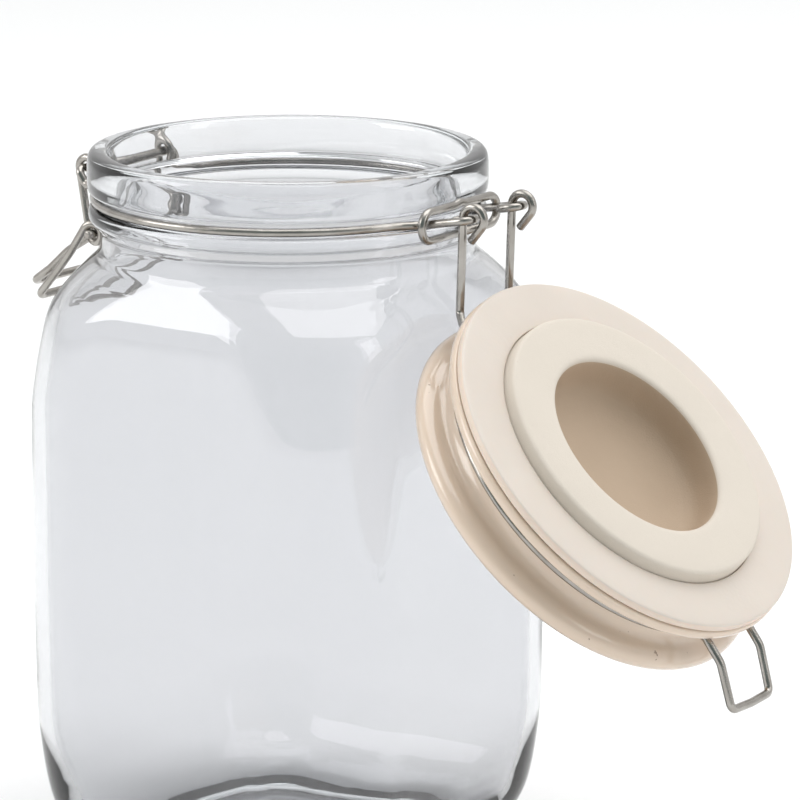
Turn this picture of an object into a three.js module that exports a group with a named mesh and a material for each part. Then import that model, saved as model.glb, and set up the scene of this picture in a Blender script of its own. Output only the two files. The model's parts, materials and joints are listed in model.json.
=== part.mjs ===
// Lidded glass canister with a wire swing-top latch. Millimetres, +Z up.
// The origin is the middle of the base; the hinge is at +Y and the latch at -Y.
import * as THREE from "three";

// ---- driving dimensions ----
const HEIGHT = 184; // table to the rim of the mouth
const HALF_SIDE = 54; // half the width across the flat faces of the body
const CORNER_OFFSET = 27; // centre of the body's corner radius, from the axis
const NECK_RADIUS = 47;
const WALL = 3.4;
const ROUND_SEGMENTS = 48;
const FOOT_POLE = [-20, -1.31]; // where the foot's facets meet: the origin is inside one facet

const WIRE = 1.05; // radius of every wire
const WIRE_SIDES = 8;
const GROOVE_Z = HEIGHT - 12.1;
const GROOVE_WIRE_RADIUS = 48.4;

const HINGE_Y = 63;
const HINGE_Z = HEIGHT - 9.5;
const ARM_X = 10.6; // the lid wire's arms, and the middles of the eyes
const EYE_HALF = 2.45; // half the width of an eye, to the middle of the wire
const EYE_DEPTH = 5.5; // inner strand of an eye, from the hinge line
const EYE_TILT = 0.184; // rise of the eyes per millimetre outwards
const HOOK_RADIUS = 3;
const HOOK_TAIL = 4.6;

const LID_SHIFT = -2.5; // closed lid's axis, from the jar's
const LID_GROOVE_Z = HEIGHT + 10; // closed lid's groove, above the rim
const LID_WIRE_RADIUS = 46;
const LID_WIRE_DROP = 1.5; // lid wire below the middle of the groove
const OPEN_ANGLE = THREE.MathUtils.degToRad(225.8);

const PIVOT = [-52.8, HEIGHT - 8.5]; // the lever's pivot bar (y, z)
const ELBOW = [-50, HEIGHT - 25]; // the link's pivot in the lever (y, z)
const LEVER_X = 14.1;
const HANDLE_X = 16.5;
const LINK_X = 11.6;

// ---- materials ----
const finish = (color, roughness, metalness) =>
  new THREE.MeshStandardMaterial({ color, roughness, metalness });

const root = new THREE.Group();
root.name = "lidded_glass_canister";

function add(name, geometry, material, parent = root) {
  const mesh = new THREE.Mesh(geometry, material);
  mesh.name = name;
  parent.add(mesh);
  return mesh;
}

// ---- turned solids ----
// A profile of [radius, z] turned about the Z axis.
function turned(profile, segments = ROUND_SEGMENTS) {
  const points = profile.map(([r, z]) => new THREE.Vector2(r, z));
  return new THREE.LatheGeometry(points, segments).rotateX(Math.PI / 2);
}

// Distance from the axis to a rounded square, in the direction of an angle from a face.
// half is half its width and offset the distance of the corner centres from the axis.
function roundedSquare(angle, half, offset) {
  const quarter = Math.PI / 2;
  const folded = Math.abs(angle - quarter * Math.round(angle / quarter));
  const flat = half / Math.cos(folded);
  if (flat * Math.sin(folded) <= offset) return flat;
  const radius = half - offset;
  const along = offset * (Math.cos(folded) + Math.sin(folded));
  return along + Math.sqrt(radius ** 2 - offset ** 2 * (1 - Math.sin(2 * folded)));
}

// Turns a profile of [half width, z, squareness] where squareness 1 is the full body section.
function squared(profile) {
  const geometry = turned(profile);
  const position = geometry.attributes.position;
  for (let i = 0; i < position.count; i++) {
    const [half, z, squareness] = profile[i % profile.length];
    if (half === 0) {
      if (z === 0) position.setXY(i, ...FOOT_POLE);
      continue;
    }
    const x = position.getX(i);
    const y = position.getY(i);
    const offset = Math.min(CORNER_OFFSET * squareness, half * 0.72);
    const reach = roundedSquare(Math.atan2(y, x), half, offset);
    const scale = reach / Math.hypot(x, y);
    position.setXY(i, x * scale, y * scale);
  }
  return geometry;
}

// ---- wires ----
const vector = (x, y, z) => new THREE.Vector3(x, y, z);

// A curve through its points with one section at each, so short bends get short steps.
class WirePath extends THREE.Curve {
  constructor(points) {
    super();
    this.points = points;
  }

  getPoint(t) {
    const at = t * (this.points.length - 1);
    const i = Math.min(Math.floor(at + 1e-6), this.points.length - 2);
    return this.points[i].clone().lerp(this.points[i + 1], at - i);
  }

  getPointAt(u) {
    return this.getPoint(u);
  }

  getTangentAt(u) {
    const i = Math.round(u * (this.points.length - 1));
    const here = this.points[i];
    const before = this.points[Math.max(i - 1, 0)];
    const after = this.points[Math.min(i + 1, this.points.length - 1)];
    const arriving = here.clone().sub(before).normalize();
    const leaving = after.clone().sub(here).normalize();
    return arriving.add(leaving).normalize();
  }

  getSpacedPoints(divisions) {
    const points = [];
    for (let i = 0; i <= divisions; i++) points.push(this.getPoint(i / divisions));
    return points;
  }
}

function wire(points) {
  const section = new THREE.Shape();
  for (let i = 0; i < WIRE_SIDES; i++) {
    const angle = (2 * Math.PI * i) / WIRE_SIDES;
    const place = i === 0 ? "moveTo" : "lineTo";
    section[place](WIRE * Math.cos(angle), WIRE * Math.sin(angle));
  }
  section.closePath();
  const steps = points.length - 1;
  return new THREE.ExtrudeGeometry(section, {
    extrudePath: new WirePath(points),
    steps,
    curveSegments: 1,
  });
}

// Rounds the inner corners of a run of points. A point's own bend radius comes with it.
function bent(corners) {
  const points = [corners[0][0]];
  for (let i = 1; i < corners.length - 1; i++) {
    const [corner, radius] = corners[i];
    const toLast = corners[i - 1][0].clone().sub(corner);
    const toNext = corners[i + 1][0].clone().sub(corner);
    toLast.normalize();
    toNext.normalize();
    const turn = Math.PI - toLast.angleTo(toNext);
    if (!radius || turn < 0.02) {
      points.push(corner);
      continue;
    }
    const bisector = toLast.clone().add(toNext).normalize();
    const centre = corner.clone().addScaledVector(bisector, radius / Math.cos(turn / 2));
    const trim = radius * Math.tan(turn / 2);
    const first = corner.clone().addScaledVector(toLast, trim).sub(centre);
    const last = corner.clone().addScaledVector(toNext, trim).sub(centre);
    const steps = Math.max(2, Math.ceil(turn / 0.4));
    const axis = first.clone().cross(last).normalize();
    for (let k = 0; k <= steps; k++) {
      const spoke = first.clone().applyAxisAngle(axis, (turn * k) / steps);
      points.push(centre.clone().add(spoke));
    }
  }
  points.push(corners[corners.length - 1][0]);
  return points;
}

// An arc of a curl about a line along X: angles in degrees from +Y towards +Z.
function curl(fromX, toX, [y, z], radius, from, to, step = 24) {
  const steps = Math.ceil(Math.abs(to - from) / step);
  const points = [];
  for (let k = 0; k <= steps; k++) {
    const angle = THREE.MathUtils.degToRad(from + ((to - from) * k) / steps);
    const x = fromX + ((toX - fromX) * k) / steps;
    points.push(vector(x, y + radius * Math.cos(angle), z + radius * Math.sin(angle)));
  }
  return points;
}

// A flat arc about the Z axis through y = centre, by the angle from -Y towards +X.
function hoop(radius, centreY, z, from, to, step = 8) {
  const steps = Math.ceil(Math.abs(to - from) / step);
  const points = [];
  for (let k = 0; k <= steps; k++) {
    const angle = THREE.MathUtils.degToRad(from + ((to - from) * k) / steps);
    points.push(vector(radius * Math.sin(angle), centreY - radius * Math.cos(angle), z));
  }
  return points;
}

const mirrored = (points) => points.map((p) => vector(-p.x, p.y, p.z)).reverse();
const plain = (points) => points.map((point) => [point, 0]);

// ---- glass jar ----
const outerWidth = [
  [37, -184],
  [41.6, -181.2],
  [45.2, -177],
  [48.2, -172],
  [50.3, -167],
  [51.9, -160],
  [53.0, -152],
  [54, -142],
  [54, -66],
];
const shoulder = [
  [0.975, -61],
  [0.89, -51],
  [0.77, -41],
  [0.66, -37],
  [0.44, -32.5],
  [0.23, -29],
  [0.06, -26.4],
];
const finishAndBead = [
  [46.95, -24.6],
  [46.95, -19.9],
  [48.5, -18.4],
  [49.8, -16.9],
  [49.8, -14.9],
  [49.2, -13.9],
  [47, -13.5],
  [47, -10.7],
  [49.4, -10.3],
  [50.1, -9.4],
  [50.1, -4.6],
  [49.6, -2.2],
  [48.4, -0.6],
  [47, 0],
  [45.6, -0.4],
  [44.6, -1.6],
];
const neckBore = [
  [44.1, -5],
  [43.5, -13],
  [43.4, -23],
];
const jarFloor = [
  [46.4, -165],
  [43.2, -170.5],
  [38, -174.5],
  [31, -176.6],
  [0, -177.2],
];
const shoulderWidth = (fraction) => NECK_RADIUS + (HALF_SIDE - NECK_RADIUS) * fraction;
const fromTop = (z) => HEIGHT + z;
const jarProfile = [
  [0, 0, 0],
  ...outerWidth.map(([half, z]) => [half, fromTop(z), Math.min(1, half / 50)]),
  ...shoulder.map(([part, z]) => [shoulderWidth(part), fromTop(z), part]),
  ...finishAndBead.map(([radius, z]) => [radius, fromTop(z), 0]),
  ...neckBore.map(([radius, z]) => [radius, fromTop(z), 0]),
  ...shoulder
    .toReversed()
    .map(([part, z]) => [shoulderWidth(part) - WALL, fromTop(z) - 1.6 * (1 - part), part]),
  [HALF_SIDE - WALL, fromTop(-66), 1],
  [HALF_SIDE - WALL, fromTop(-142), 1],
  [HALF_SIDE - WALL - 1.2, fromTop(-153), 1],
  ...jarFloor.map(([half, z]) => [half, fromTop(z), half / 50]),
];
add("glass_jar", squared(jarProfile), finish(0xdfe8e6, 0.05, 0));

// ---- neck wire ----
const steel = () => finish(0xc9c7c2, 0.28, 1);
const eyeZ = (y) => HINGE_Z + EYE_TILT * (y - HINGE_Y);
const eyePoint = (x, y) => vector(x, y, eyeZ(y));
const legX = ARM_X + EYE_HALF;
const innerLegX = ARM_X - EYE_HALF;
const eyeMiddleY = HINGE_Y - EYE_HALF;
const eye = [];
for (let angle = 180; angle >= 0; angle -= 22.5) {
  const turn = THREE.MathUtils.degToRad(angle);
  eye.push(
    eyePoint(ARM_X + EYE_HALF * Math.cos(turn), eyeMiddleY + EYE_HALF * Math.sin(turn)),
  );
}
const eyeTail = bent([
  [eyePoint(ARM_X, HINGE_Y - EYE_DEPTH), 0],
  [eyePoint(innerLegX, HINGE_Y - EYE_DEPTH), 1.3],
  [eye[0], 0],
]);
const clasped = hoop(GROOVE_WIRE_RADIUS, 0, GROOVE_Z, 155, 24);
const halfNeckWire = [
  ...eyeTail.slice(0, -1),
  ...bent([
    ...plain(eye),
    [vector(legX, 49.2, GROOVE_Z), 3],
    [vector(16.5, 46, GROOVE_Z), 3],
    ...plain(clasped),
    [vector(19.1, -44.6, GROOVE_Z), 1.6],
    [vector(17.8, -50.4, GROOVE_Z), 1.8],
    [vector(17.8, PIVOT[0], PIVOT[1]), 1.5],
    [vector(0, PIVOT[0], PIVOT[1]), 0],
  ]),
];
const neckWirePoints = [...halfNeckWire, ...mirrored(halfNeckWire).slice(1)];
add("neck_wire", wire(neckWirePoints), steel());

// ---- hinge link: a closed racetrack of wire round both legs of the neck wire ----
const LINK_Y = 51.8;
const linkHalfWidth = 16.2;
const linkTop = HEIGHT - 8.6;
const linkBottom = HEIGHT - 15.7;
const racetrack = bent([
  [vector(0.15, LINK_Y, linkBottom), 0],
  [vector(linkHalfWidth, LINK_Y, linkBottom), 3.5],
  [vector(linkHalfWidth, LINK_Y, linkTop), 3.5],
  [vector(2.5, LINK_Y, linkTop), 4],
  [vector(0, LINK_Y, linkTop + 0.5), 4],
  [vector(-2.5, LINK_Y, linkTop), 4],
  [vector(-linkHalfWidth, LINK_Y, linkTop), 3.5],
  [vector(-linkHalfWidth, LINK_Y, linkBottom), 3.5],
  [vector(-0.15, LINK_Y, linkBottom), 0],
]);
add("hinge_link", wire(racetrack), steel());

// ---- lid, gasket and lid wire: modelled closed, then swung open about the hinge ----
const lidGroup = new THREE.Group();
const swing = new THREE.Group();
swing.position.set(0, HINGE_Y, HINGE_Z);
swing.rotation.x = -OPEN_ANGLE;
lidGroup.position.set(0, -HINGE_Y, -HINGE_Z);
swing.add(lidGroup);
root.add(swing);

// [radius, drop below the middle of the groove], from the bowl's ceiling round to the dome.
const lidProfile = [
  [0, -0.6],
  [11, -0.2],
  [18, 1],
  [22.4, 2.6],
  [24.2, 5.2],
  [24.6, 11.8],
  [25.3, 12.7],
  [26.8, 13],
  [36.2, 13],
  [37.2, 12.7],
  [37.6, 11.9],
  [37.9, 7.2],
  [49.9, 7.2],
  [50.7, 6.5],
  [50.7, 5],
  [49.9, 4],
  [46, 3.6],
  [44.6, 2.2],
  [44.5, -2.2],
  [45.6, -4.2],
  [48.4, -5.2],
  [50.1, -6.4],
  [50.6, -8],
  [49.9, -9.9],
  [47.4, -11.6],
  [38, -14.5],
  [26, -16.7],
  [13, -17.9],
  [0, -18.3],
];
const lidSolid = (profile) =>
  turned(profile.map(([r, drop]) => [r, LID_GROOVE_Z - drop])).translate(0, LID_SHIFT, 0);
add("ceramic_lid", lidSolid(lidProfile), finish(0xe9dfcf, 0.25, 0), lidGroup);

const gasketProfile = [
  [38.3, 7.8],
  [38.3, 9.4],
  [38.6, 9.7],
  [49.8, 9.7],
  [50.3, 9.2],
  [50.3, 7.9],
  [49.9, 7.5],
  [38.6, 7.5],
  [38.3, 7.8],
];
add("gasket", lidSolid(gasketProfile), finish(0xe6dcd2, 0.55, 0), lidGroup);

// Points of the lid wire in the closed lid: x, distance out from the lid's axis, drop.
const towardsHinge = (x, out, drop) => vector(x, LID_SHIFT + out, LID_GROOVE_Z - drop);
const towardsLatch = (x, out, drop) => vector(x, LID_SHIFT - out, LID_GROOVE_Z - drop);
const armFoot = towardsHinge(ARM_X, 51.2, 0.2);
const reachY = armFoot.y - HINGE_Y;
const reachZ = armFoot.z - HINGE_Z;
const reachAngle = THREE.MathUtils.radToDeg(Math.atan2(reachZ, reachY));
const reachLength = Math.hypot(reachY, reachZ);
const tangentAngle =
  reachAngle - THREE.MathUtils.radToDeg(Math.acos(HOOK_RADIUS / reachLength));
const hook = curl(
  ARM_X,
  ARM_X,
  [HINGE_Y, HINGE_Z],
  HOOK_RADIUS,
  tangentAngle - 222,
  tangentAngle,
  22.5,
);
const tailDirection = hook[0].clone().sub(hook[1]).normalize();
const hookTail = hook[0].clone().addScaledVector(tailDirection, HOOK_TAIL);
const lidRing = hoop(LID_WIRE_RADIUS, LID_SHIFT, LID_GROOVE_Z - LID_WIRE_DROP, 158, 16);
const halfLidWire = bent([
  [hookTail, 0],
  ...plain(hook),
  [armFoot, 2],
  ...plain(lidRing),
  [towardsLatch(9.1, 46.3, LID_WIRE_DROP), 1.8],
  [towardsLatch(9.1, 54.2, 0.6), 5],
  [towardsLatch(8.8, 64.4, -5), 1.8],
  [towardsLatch(0, 64.7, -5.2), 0],
]);
add("lid_wire", wire([...halfLidWire, ...mirrored(halfLidWire).slice(1)]), steel(), lidGroup);

// ---- lever: two canes over the pivot bar, a coil at each elbow and the thumb loop ----
const COIL_RADIUS = 2.45;
const CANE_RADIUS = 2.5;
const legTilt = THREE.MathUtils.radToDeg(
  Math.atan2(ELBOW[0] - PIVOT[0], PIVOT[1] - ELBOW[1]),
);
const outside = 180 + legTilt;
const handle = (x, y, z) => vector(x, y, HEIGHT + z);
const halfLever = [
  ...curl(LEVER_X, LEVER_X, PIVOT, CANE_RADIUS, outside - 248, outside),
  ...curl(LEVER_X, HANDLE_X, ELBOW, COIL_RADIUS, outside, outside + 315),
  ...bent([
    [handle(HANDLE_X, -56.8, -30.5), 0],
    [handle(HANDLE_X, -60.8, -35.4), 9],
    [handle(HANDLE_X, -67.8, -43.3), 2.4],
    [handle(0, -67.8, -43.3), 0],
  ]),
];
add("lever", wire([...halfLever, ...mirrored(halfLever).slice(1)]), steel());

// ---- latch link: pivots in the coils and is drawn over the lid wire's tongue ----
const halfLink = bent([
  [vector(18.3, ELBOW[0], ELBOW[1]), 0],
  [vector(LINK_X, ELBOW[0], ELBOW[1]), 1.5],
  [handle(LINK_X, -55.7, -27.9), 8],
  [handle(LINK_X, -61.5, -31.4), 12],
  [handle(LINK_X, -67.3, -36.6), 12],
  [handle(LINK_X, -73.5, -41), 2.4],
  [handle(0, -73.5, -41), 0],
]);
add("latch_link", wire([...halfLink, ...mirrored(halfLink).slice(1)]), steel());

export default root;
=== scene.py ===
import json
import math

import bpy
import numpy as np
from mathutils import Matrix, Vector


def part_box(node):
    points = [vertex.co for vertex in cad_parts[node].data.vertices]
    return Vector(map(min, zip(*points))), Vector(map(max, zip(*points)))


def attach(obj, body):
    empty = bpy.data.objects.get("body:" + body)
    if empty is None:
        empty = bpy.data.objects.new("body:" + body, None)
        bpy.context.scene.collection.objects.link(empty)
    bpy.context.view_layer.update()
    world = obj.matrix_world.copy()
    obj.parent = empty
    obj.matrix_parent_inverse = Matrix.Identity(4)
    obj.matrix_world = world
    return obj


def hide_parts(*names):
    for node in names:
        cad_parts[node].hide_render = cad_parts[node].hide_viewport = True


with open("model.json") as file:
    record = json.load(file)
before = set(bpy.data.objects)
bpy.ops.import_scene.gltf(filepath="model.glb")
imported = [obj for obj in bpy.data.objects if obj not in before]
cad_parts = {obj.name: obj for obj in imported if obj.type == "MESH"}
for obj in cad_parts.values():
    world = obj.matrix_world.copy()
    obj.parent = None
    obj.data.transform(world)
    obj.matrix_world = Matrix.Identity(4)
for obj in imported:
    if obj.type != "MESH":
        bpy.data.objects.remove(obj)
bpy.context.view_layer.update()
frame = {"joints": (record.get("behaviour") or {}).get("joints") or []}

# Shapes below are in millimetres and are scaled to metres when their mesh is made.
MM = 0.001

# ---- anchors taken from the frame ----
jar_low, jar_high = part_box("glass_jar")
RIM = jar_high.z / MM
HALF_SIDE = jar_high.x / MM
joints = {joint["name"]: joint for joint in frame["joints"]}
HINGE_Y, HINGE_Z = (value / MM for value in joints["lid_hinge"]["pos_m"][1:])
PIVOT = tuple(value / MM for value in joints["lever_pivot"]["pos_m"][1:])
ELBOW = tuple(value / MM for value in joints["link_pivot"]["pos_m"][1:])
OPEN_ANGLE = math.radians(joints["lid_hinge"]["range_deg"][1])

# ---- driving dimensions ----
NECK_RADIUS = 47
WALL = 3.4
CORNER_OFFSET = 27
JAR_SEGMENTS = 224
LID_SEGMENTS = 192
CORNER_REACH = 0.46  # share of each side that an outline's rounded corner takes
CORNER_STEPS = 4
WIRE = 1.05  # radius of every wire
WIRE_SIDES = 14
BEND_STEP = 0.16  # radians between the points of a bend
CURL_STEP = 9  # degrees between the points of a curl
HOOP_STEP = 2.5  # degrees between the points of a hoop
OFF_AXIS = (0.31, 0.52, 0.8)  # a direction that no wire starts along
CUT_EDGE = 0.22  # chamfer on a wire's cut ends
SHORTEST_STEP = 0.02  # points of a wire that are nearer than this are merged
GROOVE_Z = RIM - 12.1
GROOVE_WIRE_RADIUS = 48.4
ARM_X = 10.6  # the lid wire's arms, and the middles of the eyes
EYE_HALF = 2.45  # half the width of an eye, to the middle of the wire
EYE_DEPTH = 5.5  # inner strand of an eye, from the hinge line
EYE_TILT = 0.184  # rise of the eyes per millimetre outwards
HOOK_RADIUS = 3
HOOK_SWEEP = 222  # degrees
HOOK_TAIL = 4.6
LID_SHIFT = -2.5  # closed lid's axis, from the jar's
LID_GROOVE_Z = RIM + 10  # closed lid's groove
LID_WIRE_RADIUS = 46
LID_WIRE_DROP = 1.5  # lid wire below the middle of the groove
LEVER_X = 14.1
HANDLE_X = 16.5
LINK_X = 11.6


# ---- mesh helpers ----
def mesh_object(name, vertices, faces, smooth=True):
    mesh = bpy.data.meshes.new(name)
    mesh.from_pydata([tuple(v) for v in vertices], [], [tuple(f) for f in faces])
    mesh.polygons.foreach_set("use_smooth", [smooth] * len(mesh.polygons))
    mesh.update()
    obj = bpy.data.objects.new(name, mesh)
    bpy.context.scene.collection.objects.link(obj)
    return obj


def softened(profile):
    """Rounds each corner of an outline with a short curve between its two sides."""
    rows = [np.array(row, float) for row in profile]
    soft = [rows[0]]
    for before, corner, after in zip(rows, rows[1:], rows[2:]):
        start = corner + (before - corner) * CORNER_REACH
        end = corner + (after - corner) * CORNER_REACH
        for k in range(CORNER_STEPS + 1):
            t = k / CORNER_STEPS
            soft.append(start * (1 - t) ** 2 + corner * 2 * t * (1 - t) + end * t * t)
    soft.append(rows[-1])
    return np.array(soft)


def divided(profile, longest):
    """Adds points so that no step of an outline is longer than longest."""
    rows = [profile[0]]
    for row, following in zip(profile, profile[1:]):
        count = max(1, math.ceil(np.linalg.norm((following - row)[:2]) / longest))
        rows += [row + (following - row) * k / count for k in range(1, count + 1)]
    return np.array(rows)


def rounded_square(angles, half, offset):
    """Distance from the axis to a rounded square, by the angle from a face."""
    quarter = math.pi / 2
    folded = np.abs(angles - quarter * np.round(angles / quarter))
    flat = half / np.cos(folded)
    along = offset * (np.cos(folded) + np.sin(folded))
    inner = (half - offset) ** 2 - offset**2 * (1 - np.sin(2 * folded))
    corner = along + np.sqrt(np.maximum(inner, 0))
    return np.where(flat * np.sin(folded) <= offset, flat, corner)


def turned(name, profile, segments, closed=False, reach=None):
    """Turns an outline of [radius, height, ...] about Z, with one pole for a point on the axis.

    closed joins the last ring to the first. reach gives a ring's radii where it isn't round.
    """
    angles = np.arange(segments) * 2 * math.pi / segments
    rings = []
    vertices = []
    for row in profile:
        if abs(row[0]) < 1e-6:
            rings.append([len(vertices)])
            vertices.append((0, 0, row[1]))
            continue
        radii = reach(angles, row) if reach else np.full(segments, row[0])
        rings.append(list(range(len(vertices), len(vertices) + segments)))
        for angle, radius in zip(angles, radii):
            vertices.append((radius * math.cos(angle), radius * math.sin(angle), row[1]))
    faces = []
    pairs = list(zip(rings, rings[1:]))
    if closed:
        pairs.append((rings[-1], rings[0]))
    for low, high in pairs:
        for i in range(segments):
            j = (i + 1) % segments
            quad = [low[i % len(low)], low[j % len(low)], high[j % len(high)], high[i % len(high)]]
            faces.append(list(dict.fromkeys(quad)))
    return mesh_object(name, np.array(vertices) * MM, faces)


# ---- wire helpers ----
def vec(x, y, z):
    return np.array([x, y, z], float)


def bent(corners):
    """Rounds the corners of a run of (point, bend radius)."""
    points = [corners[0][0]]
    for i in range(1, len(corners) - 1):
        corner, radius = corners[i]
        to_last = corners[i - 1][0] - corner
        to_next = corners[i + 1][0] - corner
        to_last = to_last / np.linalg.norm(to_last)
        to_next = to_next / np.linalg.norm(to_next)
        turn = math.pi - math.acos(np.clip(to_last @ to_next, -1, 1))
        if not radius or turn < 0.02:
            points.append(corner)
            continue
        bisector = (to_last + to_next) / np.linalg.norm(to_last + to_next)
        centre = corner + bisector * radius / math.cos(turn / 2)
        trim = radius * math.tan(turn / 2)
        first = Vector(corner + to_last * trim - centre)
        axis = first.cross(Vector(corner + to_next * trim - centre)).normalized()
        steps = max(3, math.ceil(turn / BEND_STEP))
        for k in range(steps + 1):
            points.append(centre + np.array(Matrix.Rotation(turn * k / steps, 3, axis) @ first))
    points.append(corners[-1][0])
    return points


def curl(from_x, to_x, centre, radius, start, end):
    """An arc about a line along X, in degrees from +Y towards +Z."""
    steps = math.ceil(abs(end - start) / CURL_STEP)
    points = []
    for k in range(steps + 1):
        angle = math.radians(start + (end - start) * k / steps)
        x = from_x + (to_x - from_x) * k / steps
        points.append(
            vec(x, centre[0] + radius * math.cos(angle), centre[1] + radius * math.sin(angle))
        )
    return points


def hoop(radius, centre_y, z, start, end):
    """A flat arc about Z through y = centre_y, in degrees from -Y towards +X."""
    steps = math.ceil(abs(end - start) / HOOP_STEP)
    points = []
    for k in range(steps + 1):
        angle = math.radians(start + (end - start) * k / steps)
        points.append(vec(radius * math.sin(angle), centre_y - radius * math.cos(angle), z))
    return points


def mirrored(points):
    return [p * vec(-1, 1, 1) for p in reversed(points)]


def plain(points):
    return [(point, 0) for point in points]


def both_sides(half):
    """A whole wire from the half that ends on the middle plane."""
    return half + mirrored(half)[1:]


def wire(name, points):
    """A round wire along points, with cut ends.

    Each vertex keeps its place along and around the wire, for the drawn finish.
    """
    spine = [points[0]]
    for point in points[1:]:
        if np.linalg.norm(point - spine[-1]) > SHORTEST_STEP:
            spine.append(point)
    spine = np.array(spine)
    arriving = np.diff(spine, axis=0)
    arriving /= np.linalg.norm(arriving, axis=1)[:, None]
    tangents = np.vstack([arriving[:1], arriving[:-1] + arriving[1:], arriving[-1:]])
    tangents /= np.linalg.norm(tangents, axis=1)[:, None]
    run = np.concatenate([[0], np.cumsum(np.linalg.norm(np.diff(spine, axis=0), axis=1))])
    last = len(spine) - 1
    stations = [(0, 0.0, WIRE - CUT_EDGE), (0, CUT_EDGE, WIRE)]
    stations += [(i, 0.0, WIRE) for i in range(1, last)]
    stations += [(last, -CUT_EDGE, WIRE), (last, 0.0, WIRE - CUT_EDGE)]
    side = np.cross(tangents[0], OFF_AXIS)
    vertices, along, around = [], [], []
    for i, shift, radius in stations:
        side = side - tangents[i] * (side @ tangents[i])
        side = side / np.linalg.norm(side)
        other = np.cross(tangents[i], side)
        for k in range(WIRE_SIDES):
            turn = 2 * math.pi * k / WIRE_SIDES
            spoke = side * math.cos(turn) + other * math.sin(turn)
            vertices.append(spine[i] + tangents[i] * shift + spoke * radius)
            along.append((run[i] + shift) * MM)
            around.append(math.cos(turn))
    faces = []
    for s in range(len(stations) - 1):
        for k in range(WIRE_SIDES):
            j = (k + 1) % WIRE_SIDES
            low, high = s * WIRE_SIDES, (s + 1) * WIRE_SIDES
            faces.append([low + k, low + j, high + j, high + k])
    faces.append(list(reversed(range(WIRE_SIDES))))
    faces.append(list(range(len(vertices) - WIRE_SIDES, len(vertices))))
    obj = mesh_object(name, np.array(vertices) * MM, faces)
    for label, values in (("along", along), ("around", around)):
        layer = obj.data.attributes.new(label, "FLOAT", "POINT")
        layer.data.foreach_set("value", values)
    return obj


# ---- material helpers ----
def new_material(name):
    material = bpy.data.materials.new(name)
    material.use_nodes = True
    nodes = material.node_tree.nodes
    return material, nodes, material.node_tree.links, nodes["Principled BSDF"]


def noise(nodes, links, coordinates, scale, detail=3.0, roughness=0.5):
    texture = nodes.new("ShaderNodeTexNoise")
    texture.inputs["Scale"].default_value = scale
    texture.inputs["Detail"].default_value = detail
    texture.inputs["Roughness"].default_value = roughness
    links.new(coordinates, texture.inputs["Vector"])
    return texture.outputs["Fac"]


def remap(nodes, links, value, low, high, to_low, to_high):
    """A value between low and high, moved in proportion to between to_low and to_high."""
    node = nodes.new("ShaderNodeMapRange")
    node.inputs["From Min"].default_value = low
    node.inputs["From Max"].default_value = high
    node.inputs["To Min"].default_value = to_low
    node.inputs["To Max"].default_value = to_high
    links.new(value, node.inputs["Value"])
    return node.outputs["Result"]


def mixed(nodes, links, factor, first, second):
    """A mix of two colours, each a tuple or a socket."""
    node = nodes.new("ShaderNodeMix")
    node.data_type = "RGBA"
    links.new(factor, node.inputs["Factor"])
    for socket, value in ((node.inputs[6], first), (node.inputs[7], second)):
        if isinstance(value, tuple):
            socket.default_value = (*value, 1)
        else:
            links.new(value, socket)
    return node.outputs[2]


def bump(nodes, links, shader, height, distance, below=None):
    """Relief on a shader, over the relief below it if there is any."""
    node = nodes.new("ShaderNodeBump")
    node.inputs["Distance"].default_value = distance
    links.new(height, node.inputs["Height"])
    if below is not None:
        links.new(below, node.inputs["Normal"])
    links.new(node.outputs["Normal"], shader.inputs["Normal"])
    return node.outputs["Normal"]


def object_coordinates(nodes):
    return nodes.new("ShaderNodeTexCoord").outputs["Object"]


# ---- materials ----
def glass_material():
    """Clear pressed glass: a faint sea-green body colour, a grey base colour of painted shade, and
    the slow waves of a blown wall.
    """
    material, nodes, links, shader = new_material("clear_glass")
    # The grey base colour is painted shade: it dims all that is seen through the glass, for the
    # dimmer backdrop behind the jar.
    shader.inputs["Base Color"].default_value = (0.792, 0.793, 0.81, 1)
    shader.inputs["Transmission Weight"].default_value = 1.0
    shader.inputs["IOR"].default_value = 1.5
    where = object_coordinates(nodes)
    smears = noise(nodes, links, where, 60, 4)
    rough = remap(nodes, links, smears, 0.55, 0.85, 0.0, 0.035)
    links.new(rough, shader.inputs["Roughness"])
    waves = noise(nodes, links, where, 16, 1)
    bump(nodes, links, shader, waves, 0.0011)
    body = nodes.new("ShaderNodeVolumeAbsorption")
    body.inputs["Color"].default_value = (0.70, 0.86, 0.85, 1)
    body.inputs["Density"].default_value = 7.0
    links.new(body.outputs["Volume"], nodes["Material Output"].inputs["Volume"])
    return material


def glaze_material():
    """Cream glaze: slightly mottled, with an orange-peel surface and a few iron specks."""
    material, nodes, links, shader = new_material("cream_glaze")
    where = object_coordinates(nodes)
    mottle = noise(nodes, links, where, 34, 5)
    cream = mixed(nodes, links, mottle, (0.69, 0.55, 0.43), (0.75, 0.615, 0.495))
    specks = noise(nodes, links, where, 620, 2, 0.4)
    spotted = remap(nodes, links, specks, 0.755, 0.79, 0.0, 0.7)
    colour = mixed(nodes, links, spotted, cream, (0.20, 0.11, 0.06))
    links.new(colour, shader.inputs["Base Color"])
    patches = noise(nodes, links, where, 90, 3)
    links.new(remap(nodes, links, patches, 0.3, 0.7, 0.10, 0.2), shader.inputs["Roughness"])
    shader.inputs["Coat Weight"].default_value = 0.6
    shader.inputs["Coat Roughness"].default_value = 0.06
    shader.inputs["Subsurface Weight"].default_value = 0.08
    shader.inputs["Subsurface Radius"].default_value = (0.002, 0.0012, 0.0008)
    peel = noise(nodes, links, where, 420, 2)
    bump(nodes, links, shader, peel, 0.00006)
    return material


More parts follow.
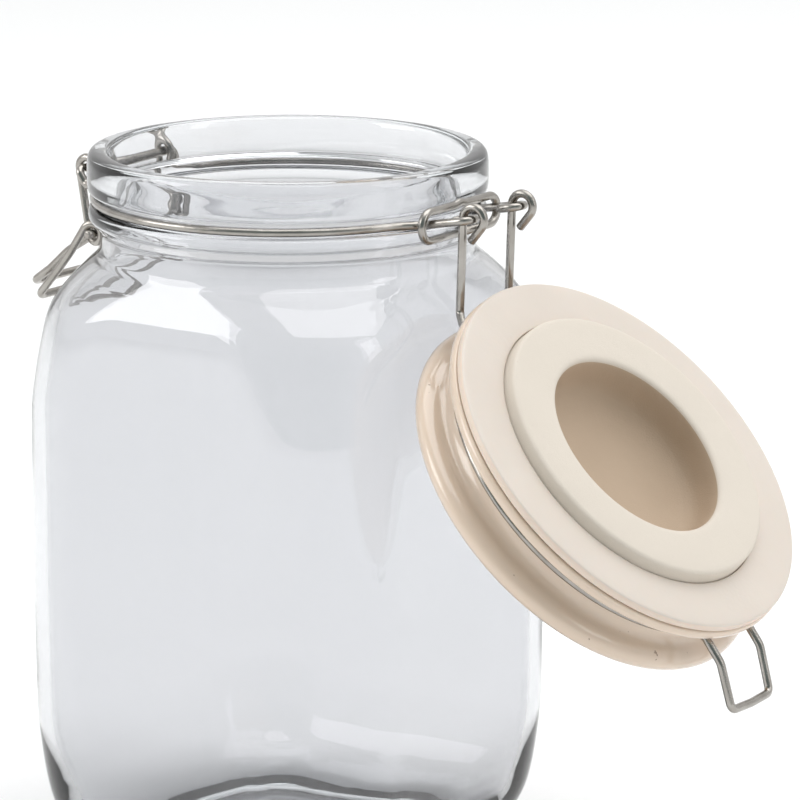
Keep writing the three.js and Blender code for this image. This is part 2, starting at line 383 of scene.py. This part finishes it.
def bisque_material(name, dark, light):
    """Unglazed stoneware: matt and chalky, with a fine grain and faint turning marks."""
    material, nodes, links, shader = new_material(name)
    where = object_coordinates(nodes)
    cloud = noise(nodes, links, where, 45, 5)
    clay = mixed(nodes, links, cloud, dark, light)
    specks = noise(nodes, links, where, 900, 2, 0.4)
    spotted = remap(nodes, links, specks, 0.77, 0.81, 0.0, 0.35)
    links.new(
        mixed(nodes, links, spotted, clay, (0.45, 0.30, 0.2)), shader.inputs["Base Color"]
    )
    links.new(remap(nodes, links, cloud, 0.3, 0.7, 0.62, 0.8), shader.inputs["Roughness"])
    shader.inputs["Specular IOR Level"].default_value = 0.3
    grain = noise(nodes, links, where, 2400, 4, 0.7)
    first = bump(nodes, links, shader, grain, 0.00008)
    dents = noise(nodes, links, where, 160, 2)
    bump(nodes, links, shader, dents, 0.00015, below=first)
    return material


def silicone_material(name, dark, light, glow):
    """Satin silicone: soft, a little translucent, with lint and handling marks in its sheen."""
    material, nodes, links, shader = new_material(name)
    where = object_coordinates(nodes)
    cloud = noise(nodes, links, where, 70, 4)
    links.new(mixed(nodes, links, cloud, dark, light), shader.inputs["Base Color"])
    marks = noise(nodes, links, where, 180, 5)
    links.new(remap(nodes, links, marks, 0.35, 0.7, 0.34, 0.5), shader.inputs["Roughness"])
    shader.inputs["Subsurface Weight"].default_value = glow
    shader.inputs["Subsurface Radius"].default_value = (0.004, 0.0018, 0.001)
    skin = noise(nodes, links, where, 900, 3)
    bump(nodes, links, shader, skin, 0.00004)
    return material


def wire_material():
    """Drawn stainless wire: fine die lines along its length, stained in patches, and darkened
    throughout with painted dark reflection.
    """
    material, nodes, links, shader = new_material("drawn_stainless")
    shader.inputs["Metallic"].default_value = 1.0
    joined = nodes.new("ShaderNodeCombineXYZ")
    for label, socket, factor in (("along", "X", 60.0), ("around", "Y", 9.0)):
        attribute = nodes.new("ShaderNodeAttribute")
        attribute.attribute_name = label
        scaled = nodes.new("ShaderNodeMath")
        scaled.operation = "MULTIPLY"
        scaled.inputs[1].default_value = factor
        links.new(attribute.outputs["Fac"], scaled.inputs[0])
        links.new(scaled.outputs["Value"], joined.inputs[socket])
    lines = noise(nodes, links, joined.outputs["Vector"], 3.0, 5)
    where = object_coordinates(nodes)
    stains = noise(nodes, links, where, 220, 4)
    # Both tones are darker than bare stainless as painted dark reflection; the stains mask varies
    # between them as real staining.
    steel = mixed(nodes, links, stains, (0.26, 0.24, 0.215), (0.48, 0.46, 0.43))
    links.new(steel, shader.inputs["Base Color"])
    links.new(remap(nodes, links, lines, 0.3, 0.75, 0.08, 0.2), shader.inputs["Roughness"])
    bump(nodes, links, shader, lines, 0.00003)
    return material


GLASS = glass_material()
GLAZE = glaze_material()
BISQUE = bisque_material("matt_stoneware", (0.66, 0.595, 0.515), (0.72, 0.655, 0.575))
# Clay darker than the boss: painted shade for the lid's hollow, which is the same clay in shadow.
PAINTED_SHADE_CLAY = bisque_material("painted_shade_clay", (0.44, 0.335, 0.24), (0.53, 0.415, 0.31))
SILICONE = silicone_material("satin_silicone", (0.665, 0.59, 0.52), (0.715, 0.64, 0.57), 0.1)
SILICONE_EDGE = silicone_material("silicone_edge", (0.73, 0.60, 0.50), (0.79, 0.67, 0.57), 0.2)
STEEL = wire_material()


def finished(obj, body, slot, material, *nodes):
    """Stands a piece of one material in for its nodes, on their body."""
    obj.data.materials.append(material)
    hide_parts(*nodes)
    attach(obj, body)


def shade_by_place(obj, choose):
    """Gives each face the material number that choose returns for its radius and height."""
    for polygon in obj.data.polygons:
        x, y, height = polygon.center / MM
        polygon.material_index = choose(math.hypot(x, y), height)


# ---- glass jar ----
# Outlines are (half width or radius, height from the rim), and the shoulder is (part, height):
# part runs from 0 at the round neck to 1 at the squared body.
SIDE_TOP = -66
SIDE_FOOT = -142
SQUARED_FROM = 50  # half width from which the foot is fully squared
WIDEST_OFFSET = 0.72  # of the half width, for the middle of a corner's curve
SHOULDER_DROP = 1.6  # of the shoulder's inside below its outside, at the neck
PUNT = [(0, 1.9, 0.6), (27, 1.7, 0.6), (33, 0.3, 0.62)]  # (half width, height, squareness)
FOOT = [
    (37, -184),
    (41.6, -181.2),
    (45.2, -177),
    (48.2, -172),
    (50.3, -167),
    (51.9, -160),
    (53.0, -152),
    (HALF_SIDE, SIDE_FOOT),
    (HALF_SIDE, SIDE_TOP),
]
SHOULDER = [
    (0.975, -61),
    (0.89, -51),
    (0.77, -41),
    (0.66, -37),
    (0.44, -32.5),
    (0.23, -29),
    (0.06, -26.4),
]
NECK_AND_BEAD = [
    (46.95, -24.6),
    (46.95, -19.9),
    (48.5, -18.4),
    (49.8, -16.9),
    (49.8, -14.9),
    (49.2, -13.9),
    (47, -13.5),
    (47, -10.7),
    (49.4, -10.3),
    (50.1, -9.4),
    (50.1, -3.4),
    (49.8, -1.3),
    (48.9, -0.2),
    (47, 0),
    (45.2, -0.2),
    (44.5, -1.4),
]
BORE = [(44.1, -5), (43.5, -13), (43.4, -23)]
FLOOR = [(46.4, -165), (43.2, -170.5), (38, -174.5), (31, -176.6), (0, -177.2)]


def jar_outline():
    """[half width, height, squareness] from the middle of the foot, over the rim, to the inside."""

    def shoulder_width(part):
        return NECK_RADIUS + (HALF_SIDE - NECK_RADIUS) * part

    rows = [(half, height - RIM, square) for half, height, square in PUNT]
    rows += [(half, z, min(1, half / SQUARED_FROM)) for half, z in FOOT]
    rows += [(shoulder_width(part), z, part) for part, z in SHOULDER]
    rows += [(radius, z, 0) for radius, z in NECK_AND_BEAD + BORE]
    for part, z in reversed(SHOULDER):
        rows.append((shoulder_width(part) - WALL, z - SHOULDER_DROP * (1 - part), part))
    inside = HALF_SIDE - WALL
    rows += [(inside, SIDE_TOP, 1), (inside, SIDE_FOOT, 1), (inside - 1.2, -153, 1)]
    rows += [(half, z, half / SQUARED_FROM) for half, z in FLOOR]
    outline = divided(softened(rows), longest=6)
    outline[:, 1] += RIM
    outline[:, 1] = np.maximum(outline[:, 1], 0)
    return outline


def jar_reach(angles, row):
    half, _, square = row
    offset = min(CORNER_OFFSET * square, half * WIDEST_OFFSET)
    return rounded_square(angles, half, offset)


jar = turned("jar_glass", jar_outline(), JAR_SEGMENTS, reach=jar_reach)
finished(jar, "jar", "glass", GLASS, "glass_jar")


# ---- neck wire ----
def eye_point(x, y):
    return vec(x, y, HINGE_Z + EYE_TILT * (y - HINGE_Y))


eye = []
for degrees in range(180, -1, -15):
    turn = math.radians(degrees)
    eye.append(
        eye_point(
            ARM_X + EYE_HALF * math.cos(turn),
            HINGE_Y - EYE_HALF + EYE_HALF * math.sin(turn),
        )
    )
eye_tail = bent(
    [
        (eye_point(ARM_X, HINGE_Y - EYE_DEPTH), 0),
        (eye_point(ARM_X - EYE_HALF, HINGE_Y - EYE_DEPTH), 1.3),
        (eye[0], 0),
    ]
)
half_neck_wire = eye_tail[:-1] + bent(
    plain(eye)
    + [
        (vec(ARM_X + EYE_HALF, 49.2, GROOVE_Z), 3),
        (vec(16.5, 46, GROOVE_Z), 3),
    ]
    + plain(hoop(GROOVE_WIRE_RADIUS, 0, GROOVE_Z, 155, 24))
    + [
        (vec(19.1, -44.6, GROOVE_Z), 1.6),
        (vec(17.8, -50.4, GROOVE_Z), 1.8),
        (vec(17.8, *PIVOT), 1.5),
        (vec(0, *PIVOT), 0),
    ]
)
neck_wire = wire("neck_bail_wire", both_sides(half_neck_wire))
finished(neck_wire, "jar", "wire", STEEL, "neck_wire")

# ---- hinge link ----
CLASP_Y = 51.8
CLASP_HALF_WIDTH = 16.2
CLASP_TOP = RIM - 8.6
CLASP_BOTTOM = RIM - 15.7
BUTT_GAP = 0.3
racetrack = bent(
    [
        (vec(BUTT_GAP / 2, CLASP_Y, CLASP_BOTTOM), 0),
        (vec(CLASP_HALF_WIDTH, CLASP_Y, CLASP_BOTTOM), 3.5),
        (vec(CLASP_HALF_WIDTH, CLASP_Y, CLASP_TOP), 3.5),
        (vec(2.5, CLASP_Y, CLASP_TOP), 4),
        (vec(0, CLASP_Y, CLASP_TOP + 0.5), 4),
        (vec(-2.5, CLASP_Y, CLASP_TOP), 4),
        (vec(-CLASP_HALF_WIDTH, CLASP_Y, CLASP_TOP), 3.5),
        (vec(-CLASP_HALF_WIDTH, CLASP_Y, CLASP_BOTTOM), 3.5),
        (vec(-BUTT_GAP / 2, CLASP_Y, CLASP_BOTTOM), 0),
    ]
)
finished(wire("hinge_clasp", racetrack), "jar", "wire", STEEL, "hinge_link")

# ---- lid, gasket and lid wire: shaped closed, then opened about the hinge ----
hinge_point = Vector((0, HINGE_Y * MM, HINGE_Z * MM))
OPENING = (
    Matrix.Translation(hinge_point)
    @ Matrix.Rotation(-OPEN_ANGLE, 4, "X")
    @ Matrix.Translation(-hinge_point)
)
LID_AXIS = Matrix.Translation(Vector((0, LID_SHIFT * MM, 0)))

# Drops below the middle of the lid's groove, and the radii that go with them.
DISC_FACE = 7.2
GLAZE_END = DISC_FACE + 0.6
BOWL_CEILING = -1
BOWL_MOUTH = 11.7
BOWL_RADIUS = 24.7
GASKET_EDGE_RADIUS = 50.1

# [radius, drop below the middle of the groove], from the bowl's ceiling round to the dome.
LID_OUTLINE = [
    (0, -0.6),
    (11, -0.2),
    (18, 1),
    (22.4, 2.6),
    (24.2, 5.2),
    (24.6, 11.8),
    (25.3, 12.7),
    (26.8, 13),
    (36.2, 13),
    (37.2, 12.7),
    (37.6, 11.9),
    (37.9, DISC_FACE),
    (49.9, DISC_FACE),
    (50.7, 6.5),
    (50.7, 5),
    (49.9, 4),
    (46, 3.6),
    (44.6, 2.2),
    (44.5, -2.2),
    (45.6, -4.2),
    (48.4, -5.2),
    (50.1, -6.4),
    (50.6, -8),
    (49.9, -9.9),
    (47.4, -11.6),
    (38, -14.5),
    (26, -16.7),
    (13, -17.9),
    (0, -18.3),
]
GASKET_OUTLINE = [
    (37.98, 7.6),
    (37.98, 9.5),
    (38.3, 9.7),
    (49.6, 9.7),
    (50.3, 9.1),
    (50.3, 7.6),
    (49.9, 7.3),
    (38.3, 7.3),
    (37.98, 7.6),
]


def lid_outline(rows):
    outline = divided(softened(rows), longest=3)
    outline[:, 1] = LID_GROOVE_Z - outline[:, 1]
    return outline


lid = turned("lid_stoneware", lid_outline(LID_OUTLINE), LID_SEGMENTS)
lid.data.materials.append(GLAZE)
lid.data.materials.append(BISQUE)
# The third material is the darker clay of painted shade, for the hollow.
lid.data.materials.append(PAINTED_SHADE_CLAY)


def lid_shade(radius, height):
    """0 for the glaze, 1 for the boss, which isn't glazed, and 2 for darker clay in its hollow,
    which is painted shade.
    """
    drop = LID_GROOVE_Z - height
    if radius < BOWL_RADIUS and BOWL_CEILING < drop < BOWL_MOUTH:
        return 2
    return 1 if drop > GLAZE_END else 0


shade_by_place(lid, lid_shade)
lid.data.transform(OPENING @ LID_AXIS)
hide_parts("ceramic_lid")
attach(lid, "lid")

gasket = turned("gasket_silicone", lid_outline(GASKET_OUTLINE)[:-1], LID_SEGMENTS, closed=True)
gasket.data.materials.append(SILICONE)
gasket.data.materials.append(SILICONE_EDGE)
shade_by_place(gasket, lambda radius, height: 1 if radius > GASKET_EDGE_RADIUS else 0)
gasket.data.transform(OPENING @ LID_AXIS)
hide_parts("gasket")
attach(gasket, "lid")


def towards_hinge(x, out, drop):
    return vec(x, LID_SHIFT + out, LID_GROOVE_Z - drop)


def towards_latch(x, out, drop):
    return vec(x, LID_SHIFT - out, LID_GROOVE_Z - drop)


arm_foot = towards_hinge(ARM_X, 51.2, 0.2)
reach_y, reach_z = arm_foot[1] - HINGE_Y, arm_foot[2] - HINGE_Z
tangent = math.degrees(
    math.atan2(reach_z, reach_y) - math.acos(HOOK_RADIUS / math.hypot(reach_y, reach_z))
)
hook = curl(ARM_X, ARM_X, (HINGE_Y, HINGE_Z), HOOK_RADIUS, tangent - HOOK_SWEEP, tangent)
tail_direction = (hook[0] - hook[1]) / np.linalg.norm(hook[0] - hook[1])
lid_ring = hoop(LID_WIRE_RADIUS, LID_SHIFT, LID_GROOVE_Z - LID_WIRE_DROP, 158, 16)
half_lid_wire = bent(
    [(hook[0] + tail_direction * HOOK_TAIL, 0)]
    + plain(hook)
    + [(arm_foot, 2)]
    + plain(lid_ring)
    + [
        (towards_latch(9.1, 46.3, LID_WIRE_DROP), 1.8),
        (towards_latch(9.1, 54.2, 0.6), 5),
        (towards_latch(8.8, 64.4, -5), 1.8),
        (towards_latch(0, 64.7, -5.2), 0),
    ]
)
lid_wire = wire("lid_bail_wire", both_sides(half_lid_wire))
lid_wire.data.transform(OPENING)
finished(lid_wire, "lid", "wire", STEEL, "lid_wire")

# ---- lever and latch link ----
COIL_RADIUS = 2.45
COIL_SWEEP = 315  # degrees
CANE_RADIUS = 2.5
CANE_SWEEP = 248  # degrees
leg_tilt = math.degrees(math.atan2(ELBOW[0] - PIVOT[0], PIVOT[1] - ELBOW[1]))
outside = 180 + leg_tilt


def below_rim(x, y, z):
    return vec(x, y, RIM + z)


half_lever = (
    curl(LEVER_X, LEVER_X, PIVOT, CANE_RADIUS, outside - CANE_SWEEP, outside)
    + curl(LEVER_X, HANDLE_X, ELBOW, COIL_RADIUS, outside, outside + COIL_SWEEP)
    + bent(
        [
            (below_rim(HANDLE_X, -56.8, -30.5), 0),
            (below_rim(HANDLE_X, -60.8, -35.4), 9),
            (below_rim(HANDLE_X, -67.8, -43.3), 2.4),
            (below_rim(0, -67.8, -43.3), 0),
        ]
    )
)
finished(wire("thumb_lever", both_sides(half_lever)), "lever", "wire", STEEL, "lever")

half_link = bent(
    [
        (vec(18.3, *ELBOW), 0),
        (vec(LINK_X, *ELBOW), 1.5),
        (below_rim(LINK_X, -55.7, -27.9), 8),
        (below_rim(LINK_X, -61.5, -31.4), 12),
        (below_rim(LINK_X, -67.3, -36.6), 12),
        (below_rim(LINK_X, -73.5, -41), 2.4),
        (below_rim(0, -73.5, -41), 0),
    ]
)
finished(wire("draw_link", both_sides(half_link)), "link", "wire", STEEL, "latch_link")


# ---- floor, light and camera ----
def floor_material():
    material, nodes, links, shader = new_material("studio_floor")
    paper = noise(nodes, links, object_coordinates(nodes), 300, 3)
    links.new(
        mixed(nodes, links, paper, (0.88, 0.88, 0.88), (0.9, 0.9, 0.9)),
        shader.inputs["Base Color"],
    )
    shader.inputs["Roughness"].default_value = 0.9
    shader.inputs["Specular IOR Level"].default_value = 0.1
    return material


FLOOR_SIZE = 8.0
corners = [(-1, -1), (1, -1), (1, 1), (-1, 1)]
floor = mesh_object(
    "floor",
    [(x * FLOOR_SIZE, y * FLOOR_SIZE, jar_low.z - 0.0002) for x, y in corners],
    [(0, 1, 2, 3)],
    smooth=False,
)
floor.data.materials.append(floor_material())

WORLD_STRENGTH = 0.86
DIM_SIDE = (0.86, 0.5, 0.1)
DIM_COLOUR = (0.27, 0.33, 0.33)


def studio_world():
    """White surroundings with a dim side, so that steel and glass have something dark to mirror."""
    world = bpy.data.worlds.new("studio")
    world.use_nodes = True
    nodes, links = world.node_tree.nodes, world.node_tree.links
    direction = nodes.new("ShaderNodeTexCoord").outputs["Generated"]
    facing_dim_side = nodes.new("ShaderNodeVectorMath")
    facing_dim_side.operation = "DOT_PRODUCT"
    facing_dim_side.inputs[1].default_value = DIM_SIDE
    links.new(direction, facing_dim_side.inputs[0])
    share = remap(nodes, links, facing_dim_side.outputs["Value"], 0.35, 0.85, 0.0, 1.0)
    background = nodes["Background"]
    links.new(mixed(nodes, links, share, (1, 1, 1), DIM_COLOUR), background.inputs["Color"])
    background.inputs["Strength"].default_value = WORLD_STRENGTH
    return world


bpy.context.scene.world = studio_world()

LIGHT_TARGET = Vector((0, 0.02, jar_high.z * 0.6))


def softbox(name, place, width, height, power):
    """A rectangular light that faces the middle of the canister."""
    data = bpy.data.lights.new(name, "AREA")
    data.shape = "RECTANGLE"
    data.size = width
    data.size_y = height
    data.energy = power
    light = bpy.data.objects.new(name, data)
    light.location = place
    light.rotation_euler = (LIGHT_TARGET - light.location).to_track_quat("-Z", "Y").to_euler()
    bpy.context.scene.collection.objects.link(light)


softbox("key", Vector((1.5, -1.35, 1.15)), 1.1, 1.15, 15)
softbox("overhead", Vector((-0.4, 0.3, 2.2)), 2.2, 2.2, 30)
softbox("side", Vector((-0.3, 1.9, 1.1)), 0.5, 1.2, 3.5)

CAMERA_AZIMUTH = math.radians(125)
CAMERA_PITCH = math.radians(13.5)
CAMERA_FROM_RIM = Vector((0.8705, 0.6436, 0.1951))  # from the middle of the jar's mouth
camera_data = bpy.data.cameras.new("camera")
camera_data.sensor_width = 36
camera_data.lens = 198.5
camera = bpy.data.objects.new("camera", camera_data)
camera.location = Vector((0, 0, jar_high.z)) + CAMERA_FROM_RIM
facing = Vector(
    (
        -math.sin(CAMERA_AZIMUTH) * math.cos(CAMERA_PITCH),
        math.cos(CAMERA_AZIMUTH) * math.cos(CAMERA_PITCH),
        -math.sin(CAMERA_PITCH),
    )
)
camera.rotation_mode = "QUATERNION"
camera.rotation_quaternion = facing.to_track_quat("-Z", "Y")
bpy.context.scene.collection.objects.link(camera)
bpy.context.scene.camera = camera
bpy.context.scene.view_settings.view_transform = "Standard"
